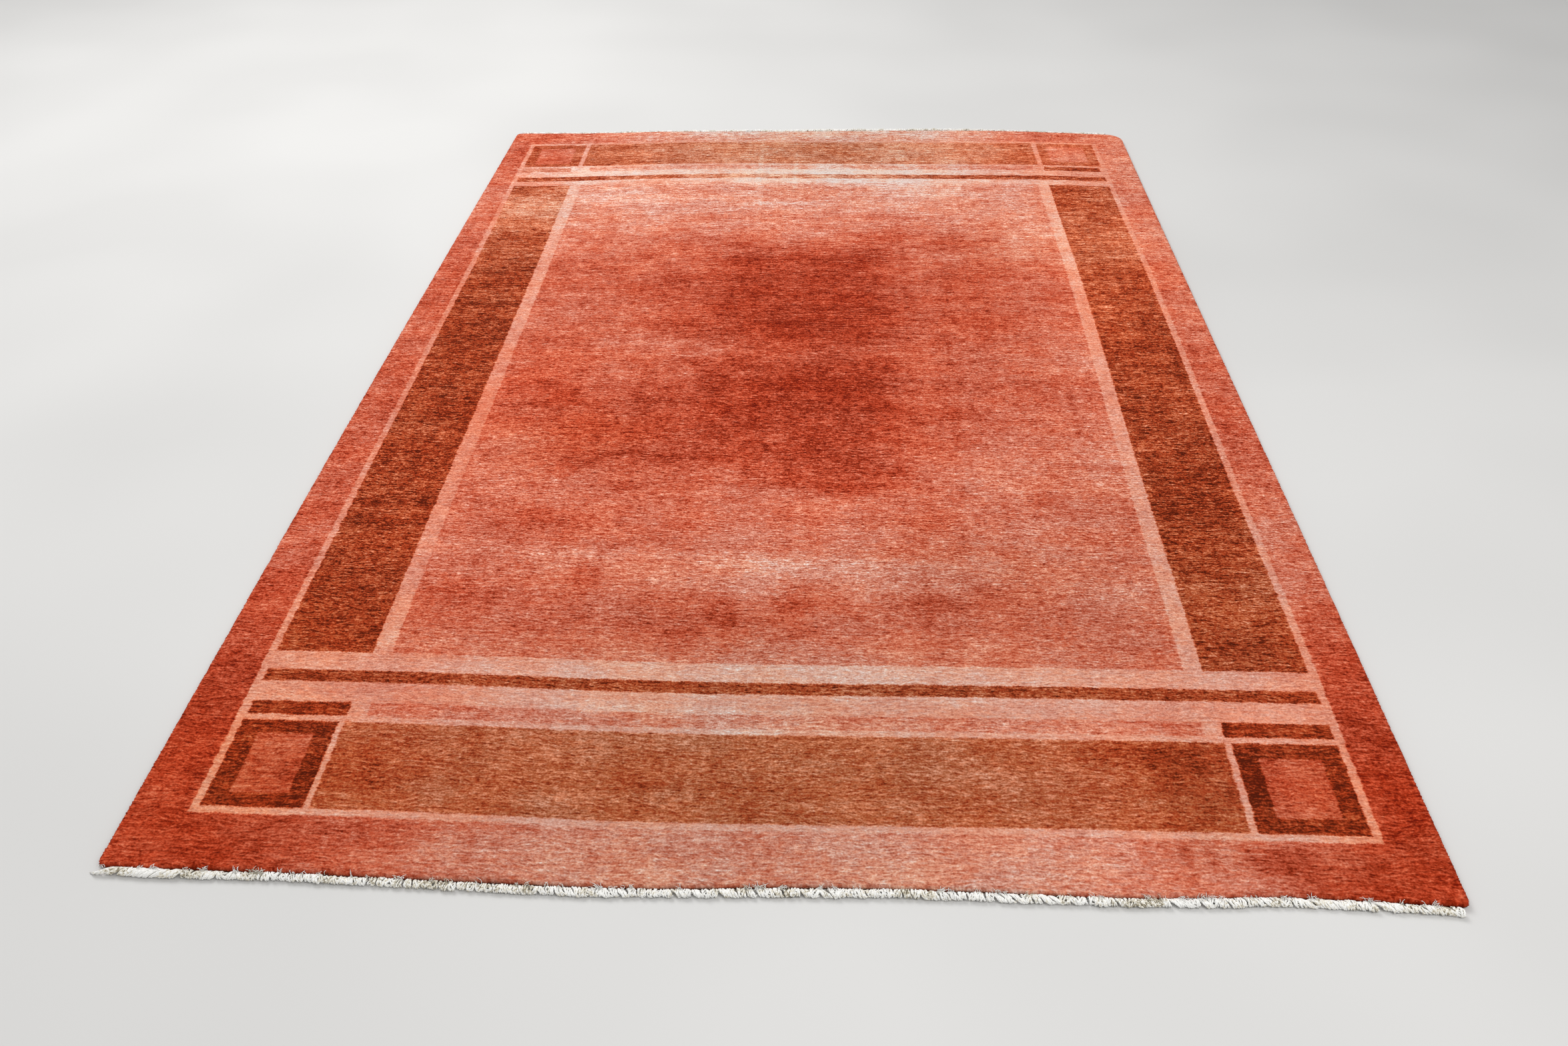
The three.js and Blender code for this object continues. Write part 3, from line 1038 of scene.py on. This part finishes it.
def tubes(paths, radii, sides):
    """Closed tubes round many paths of equal step count: points, faces and two maps of corners.

    The first map holds the share round the tube and the distance along it. In the second each
    tube has a cell of its own.
    """
    count, steps = paths.shape[:2]
    heading = unit(np.gradient(paths, axis=1))
    sideways = unit(np.cross(heading, (0.0, 0.02, 1.0)))
    upward = np.cross(sideways, heading)
    angle = 2 * np.pi * np.arange(sides) / sides
    around = sideways[:, :, None] * np.cos(angle)[:, None]
    around = around + upward[:, :, None] * np.sin(angle)[:, None]
    points = (paths[:, :, None] + around * radii[:, :, None, None]).reshape(-1, 3)

    tube, step, side = np.meshgrid(
        np.arange(count), np.arange(steps - 1), np.arange(sides), indexing="ij"
    )
    corners = [(0, 0), (0, 1), (1, 1), (1, 0)]
    wall = np.stack(
        [((tube * steps + step + a) * sides + (side + b) % sides).ravel() for a, b in corners], axis=1
    )
    first = np.arange(count)[:, None] * steps * sides + np.arange(sides)
    caps = np.concatenate([first[:, ::-1], first + (steps - 1) * sides])

    def per_corner(values):
        return np.stack([values(a, b).ravel() for a, b in corners], axis=1).ravel()

    distance = np.linalg.norm(np.diff(paths, axis=1), axis=2).cumsum(axis=1)
    distance = np.concatenate([np.zeros((count, 1)), distance], axis=1)
    wall_round = per_corner(lambda a, b: (side + b) / sides)
    wall_distance = per_corner(lambda a, b: distance[tube, step + a])
    cap_distance = np.repeat(np.concatenate([distance[:, 0], distance[:, -1]]), sides)
    share_round = np.concatenate([wall_round, np.full(len(cap_distance), 0.5)])
    yarn = np.stack([share_round, np.concatenate([wall_distance, cap_distance])], axis=1)

    # In its cell a tube's wall lies between a margin for its first end and one for its last
    columns = math.ceil(2 * math.sqrt(count))
    cells = np.array([columns, math.ceil(count / columns)])
    wall_along = per_corner(lambda a, b: (step + a) / (steps - 1))
    wall_cell = np.stack([0.1 + 0.8 * wall_round, 0.1 + 0.8 * wall_along], axis=1)
    wall_tube = np.repeat(tube.ravel(), 4)
    cap_angle = np.concatenate([np.tile(angle[::-1], count), np.tile(angle, count)])
    cap_middle = np.repeat([0.05, 0.95], count * sides)
    cap_cell = np.stack([0.5 + 0.4 * np.cos(cap_angle), cap_middle + 0.04 * np.sin(cap_angle)], axis=1)
    cap_tube = np.tile(np.repeat(np.arange(count), sides), 2)
    owner = np.concatenate([wall_tube, cap_tube])
    corner = np.stack([owner % columns, owner // columns], axis=1)
    cell = (corner + np.concatenate([wall_cell, cap_cell])) / cells
    return points, [*wall.tolist(), *caps.tolist()], yarn, cell


def tube_mesh(name, parts, bands):
    """Joins tubes into one mesh. Each part's cells fill their own band of the bake map."""
    points = np.concatenate([part[0] for part in parts])
    starts = np.cumsum([0] + [len(part[0]) for part in parts])
    faces = []
    for start, part in zip(starts, parts):
        faces += [[int(start) + corner for corner in face] for face in part[1]]
    mesh = bpy.data.meshes.new(name)
    mesh.from_pydata(points + (*RUG_MIDDLE, 0), [], faces)
    mesh.polygons.foreach_set("use_smooth", np.full(len(faces), True))
    yarn = np.concatenate([part[2] for part in parts])
    cells = [part[3] * (1, high - low) + (0, low) for part, (low, high) in zip(parts, bands)]
    for layer, places in (("yarn", yarn), ("OFBake", np.concatenate(cells))):
        mesh.uv_layers.new(name=layer).data.foreach_set("uv", places.astype(np.float32).ravel())
    return mesh, points


def edge_tufts():
    """Tufts of the outermost knots, in rows round the whole edge, each in its knot's own colour, with
    the painted shade of the pile's side lower down.
    """
    random = np.random.default_rng(31)
    columns = round(WIDTH / TUFT_PITCH)
    rows = round(LENGTH / TUFT_PITCH)
    steps = perimeter(columns, rows)
    along = np.array([-0.3, 0.45, 1.0])
    paths = []
    knots = []
    for row, (height, inset, turn) in enumerate(TUFT_ROWS):
        base = np.stack(rug_points(steps, columns, rows, inset), axis=1)
        tangent = unit(np.roll(base, -1, axis=0) - np.roll(base, 1, axis=0))
        outward = np.stack([tangent[:, 1], -tangent[:, 0]], axis=1)
        stray = random.uniform(-0.3, 0.3, len(base)) + 0.5 * (row % 2)
        base = base + tangent * (TUFT_PITCH * stray)[:, None]
        swivel = random.normal(0, 0.7, (len(base), 1))
        turn = turn + random.normal(0, 0.3, (len(base), 1))
        flat = (outward * np.cos(swivel) + tangent * np.sin(swivel)) * np.sin(turn)
        heading = np.concatenate([flat, np.cos(turn)], axis=1)
        reach = TUFT_LENGTH * random.uniform(0.4, 1.4, (len(base), 1)) * along
        start = np.concatenate([base, np.full((len(base), 1), height)], axis=1)
        paths.append(start[:, None, :] + heading[:, None, :] * reach[:, :, None])
        knots.append(base)
    paths = np.concatenate(paths)
    paths[:, :, 2] = np.maximum(paths[:, :, 2], TUFT_RADII[1])
    radii = np.array(TUFT_RADII) * random.uniform(0.8, 1.2, (len(paths), 1))
    mesh, points = tube_mesh("pile_edge", [tubes(paths, radii, TUFT_SIDES)], [(0, 1)])
    knots = np.repeat(np.concatenate(knots), len(along) * TUFT_SIDES, axis=0)
    add_pattern_place(mesh, knots, points[:, 2])
    return mesh


def beside_end(x, out, outward):
    """Points beside an end of the rug: out is measured away from the pile's edge."""
    edge_x, edge_y = place_on_rug(x, np.full_like(x, outward * LENGTH / 2))
    return edge_x, edge_y + outward * out


def lock_yarns(span, outward, random):
    """Paths and radii of the yarns of one end's locks, each laid slanting over the rope."""
    count = int((span[1] - span[0]) / LOCK_PITCH)
    first = (span[0] + span[1] - (count - 1) * LOCK_PITCH) / 2
    root = np.repeat(first + np.arange(count) * LOCK_PITCH, YARNS_PER_LOCK)[:, None]

    def per_lock(low, high):
        return np.repeat(random.uniform(low, high, count), YARNS_PER_LOCK)[:, None]

    def per_yarn(low, high):
        return random.uniform(low, high, (len(root), 1))

    # The lock's middle line, round the rope from beneath the pile's edge to the floor
    share = np.linspace(0, 1, YARN_STEPS + 1)[None, :]
    start, end = LOCK_TURN
    turn = start + (end - start) * share + per_lock(-0.2, 0.2) + per_yarn(-0.3, 0.3)
    loose = per_lock(0, 1) < LOOSE_LOCKS
    half_out = ROPE_HALF[0] * per_lock(0.8, 1.15)
    half_up = ROPE_HALF[1] * np.where(loose, per_lock(1.2, 1.6), per_lock(0.75, 1.3))
    lean = smooth_column(LOCK_LEAN, root / (WIDTH / 2)) * per_lock(0.4, 1.6)
    lean = np.where(loose, lean * 0.3, lean)
    lean = lean + per_yarn(-YARN_LEAN_STRAY, YARN_LEAN_STRAY)
    across = root + per_lock(-0.0012, 0.0012) + lean * (turn / np.pi - 0.5)
    out = ROPE_MIDDLE[0] + per_lock(-0.0009, 0.0006) - half_out * np.cos(turn)
    up = ROPE_MIDDLE[1] + half_up * np.sin(turn)

    # Its yarns, in a flat bundle that is widest on top of the rope and turns as it goes
    zero = np.zeros_like(turn)
    heading = [lean / np.pi + zero, half_out * np.sin(turn), half_up * np.cos(turn)]
    heading = np.stack(heading, axis=2)
    normal = unit(np.stack([zero, -np.cos(turn) / half_out, np.sin(turn) / half_up], axis=2))
    aside = unit(np.cross(heading, normal))
    radius = YARN_RADIUS * per_yarn(0.65, 1.2)
    spread = LOCK_FULLNESS * LOCK_PITCH * half_out / np.hypot(2 * half_out, lean)
    spread = spread * (0.6 + 0.4 * np.sin(np.pi * share)) * per_lock(0.75, 1.2)
    lay = np.tile(np.arange(YARNS_PER_LOCK), count)[:, None] * 2 * np.pi / YARNS_PER_LOCK
    lay = lay + per_lock(0, 2 * np.pi) + YARN_TWIST * share * np.sign(lean)
    line = np.stack([across, out, up], axis=2)
    line = line + aside * (spread * np.cos(lay))[:, :, None]
    line = line + normal * (LOCK_HALF_HEIGHT * np.sin(lay))[:, :, None]
    stray = waves(turn * 1.3 + lay, root * 900 + zero, 0.5, 43) * np.sin(np.pi * share)
    line = line + (aside + normal * 0.5) * (YARN_STRAY * stray)[:, :, None]

    # The rope wanders and lifts a little, and at the far end it rises with the leaning pile
    wander = ROPE_WANDER * waves(line[:, :, 0], zero, 0.09, 41)
    lift = ROPE_LIFT * (1 + waves(line[:, :, 0], zero, 0.13, 42))
    if outward > 0:
        lift = lift + smooth_column(FAR_ROPE_RISE, line[:, :, 0])
    x, y = beside_end(line[:, :, 0], line[:, :, 1] + wander, outward)
    z = np.maximum(line[:, :, 2] + lift * np.clip(up / ROPE_MIDDLE[1], 0, 1), radius)
    return np.stack([x, y, z], axis=2), radius * (0.75 + 0.25 * np.sin(np.pi * share))


def stray_fibres(span, outward, random):
    """Paths and radii of thin loose fibres that stand off the rope, most of them over the pile."""
    count = WISP_PLACES * WISPS_PER_PLACE

    def per_place(values):
        return np.repeat(values, WISPS_PER_PLACE)[:, None]

    share = np.linspace(0, 1, WISP_STEPS + 1)[None, :]
    middle = per_place(random.uniform(span[0], span[1], WISP_PLACES))
    sway = per_place(random.normal(0, 0.5, WISP_PLACES)) + random.normal(0, 0.4, (count, 1))
    length = WISP_LENGTH * random.uniform(0.35, 1.1, (count, 1))
    back = random.uniform(-0.3, 1.0, (count, 1))
    curl = random.normal(0, 0.0012, (count, 1))
    across = middle + random.normal(0, 0.0025, (count, 1)) + length * sway * share
    across = across + curl * np.sin(1.5 * np.pi * share)
    out = ROPE_MIDDLE[0] * random.uniform(0.3, 0.9, (count, 1)) - length * back * share
    rise = np.sin(np.minimum(share * 1.7, 1) * np.pi / 2) * random.uniform(0.9, 1.25, (count, 1))
    up = ROPE_MIDDLE[1] + ROPE_HALF[1] + 0.0055 * rise - np.maximum(-back, 0) * 0.02 * share**2
    x, y = beside_end(across, out, outward)
    return np.stack([x, y, up], axis=2), WISP_RADIUS * (1.2 - 0.6 * share) * np.ones((count, 1))


def strip_picks(span, outward):
    """Paths and radii of the weft picks that hold the warps beside the pile."""
    steps = int((span[1] - span[0]) / PICK_STEP)
    across = np.linspace(span[0], span[1], steps + 1)
    paths = []
    for out, phase in PICKS:
        x, y = beside_end(across, np.full_like(across, out), outward)
        lift = PICK_RADIUS * (1.5 + 0.5 * np.cos(np.pi * (np.arange(steps + 1) + 2 * phase)))
        paths.append(np.stack([x, y, lift], axis=1))
    return np.array(paths), np.full((len(PICKS), steps + 1), PICK_RADIUS)


def fringe_mesh(name, span, outward, seed):
    random = np.random.default_rng(seed)
    parts = [
        tubes(*lock_yarns(span, outward, random), YARN_SIDES),
        tubes(*strip_picks(span, outward), YARN_SIDES),
        tubes(*stray_fibres(span, outward, random), WISP_SIDES),
    ]
    return tube_mesh(name, parts, [(0, 0.8), (0.8, 0.85), (0.85, 1)])[0]


def cotton_material():
    """Undyed cotton yarn of two plies, with painted shade near the floor and in the grooves between
    its plies.
    """
    shader = Shader("cotton_warps")
    place = shader.node("TexCoord", {}).outputs["Object"]
    around, length, _ = shader.split(shader.node("UVMap", {}, uv_map="yarn").outputs[0])
    height = shader.split(place)[2]
    turns = around * YARN_PLIES + length * (1 / PLY_PITCH)
    ply = shader.maths("SINE", turns * (2 * math.pi))
    worn = shader.noise(place, (0.03, 0.03), 2, dimensions="3D")
    worn = worn + shader.noise(place, (0.0035, 0.0035), 4, dimensions="3D") * 1.1
    cotton = [(0.12, 165, 154, 130), (0.33, 240, 234, 218), (0.5, 255, 254, 250)]
    colour = shader.ramp(worn + 0.5, cotton)
    # Painted shade: the yarn darkens towards the floor, and in the grooves between the plies
    low = shader.remap(height, 0.0, 0.004, 0.6, 1.0)
    ply_groove_shade = shader.remap(ply, -1.0, 0.2, 0.94, 1.0)
    colour = shader.shade(colour, low * ply_groove_shade)
    relief = ply * 0.5 + shader.noise(place, (0.0012, 0.0012), 6, dimensions="3D")
    bump = shader.node("Bump", {"Strength": 0.5, "Distance": 0.0005, "Height": relief})
    return shader.finish(
        {
            "Base Color": colour,
            "Roughness": 0.85,
            "Specular IOR Level": 0.25,
            "Sheen Weight": 0.15,
            "Sheen Roughness": 0.5,
            "Normal": bump.outputs[0],
        }
    )


def floor_material():
    shader = Shader("floor")
    place = shader.node("TexCoord", {}).outputs["Object"]
    cloud = shader.noise(place, (0.8, 0.8), 1)
    colour = shader.ramp(cloud + 0.5, [(0.3, 214, 213, 211), (0.7, 220, 219, 217)])
    return shader.finish({"Base Color": colour, "Roughness": 0.8})


def add_lamp(name, place, aim, size, power):
    """A square soft lamp turned to a point."""
    lamp = bpy.data.lights.new(name, "AREA")
    lamp.size = size
    lamp.energy = power
    stand = bpy.data.objects.new(name, lamp)
    stand.location = place
    stand.rotation_euler = (Vector(aim) - Vector(place)).to_track_quat("-Z", "Y").to_euler()
    bpy.context.scene.collection.objects.link(stand)


def add_camera():
    data = bpy.data.cameras.new("camera")
    data.lens = CAMERA_LENS
    camera = bpy.data.objects.new("camera", data)
    camera.location = CAMERA_PLACE
    camera.rotation_euler = Euler([math.radians(angle) for angle in CAMERA_TURN])
    bpy.context.scene.collection.objects.link(camera)
    bpy.context.scene.camera = camera


def floor_mesh():
    corners = [(-1, -1), (1, -1), (1, 1), (-1, 1)]
    points = [(x * FLOOR_REACH, y * FLOOR_REACH, 0) for x, y in corners]
    mesh = bpy.data.meshes.new("floor")
    mesh.from_pydata(points, [], [(0, 1, 2, 3)])
    return mesh


def add_sky():
    world = bpy.data.worlds.new("studio")
    world.use_nodes = True
    background = world.node_tree.nodes["Background"]
    background.inputs["Color"].default_value = (1.0, 1.0, 1.0, 1.0)
    background.inputs["Strength"].default_value = SKY_STRENGTH
    bpy.context.scene.world = world


# Camera, floor and light
add_camera()
new_object("floor", floor_mesh(), floor_material())
for lamp in LAMPS:
    add_lamp(*lamp)
add_sky()
bpy.context.scene.view_settings.view_transform = "Standard"

# The rug, the tufts round its edge, and its warp ends
wool = wool_material()
cotton = cotton_material()
rug = new_object("rug_pile", rug_mesh(), wool)
tufts = new_object("pile_edge", edge_tufts(), wool)
fringe_near = new_object("fringe_near_yarns", fringe_mesh("near", NEAR_STRIP, -1, 21), cotton)
fringe_far = new_object("fringe_far_yarns", fringe_mesh("far", FAR_STRIP, 1, 22), cotton)
for piece, node, slot in (
    (rug, "rug", "wool_pile"),
    (tufts, "rug", "wool_pile"),
    (fringe_near, "fringe_near", "cotton_warps"),
    (fringe_far, "fringe_far", "cotton_warps"),
):
    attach(piece, "root")
    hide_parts(node)
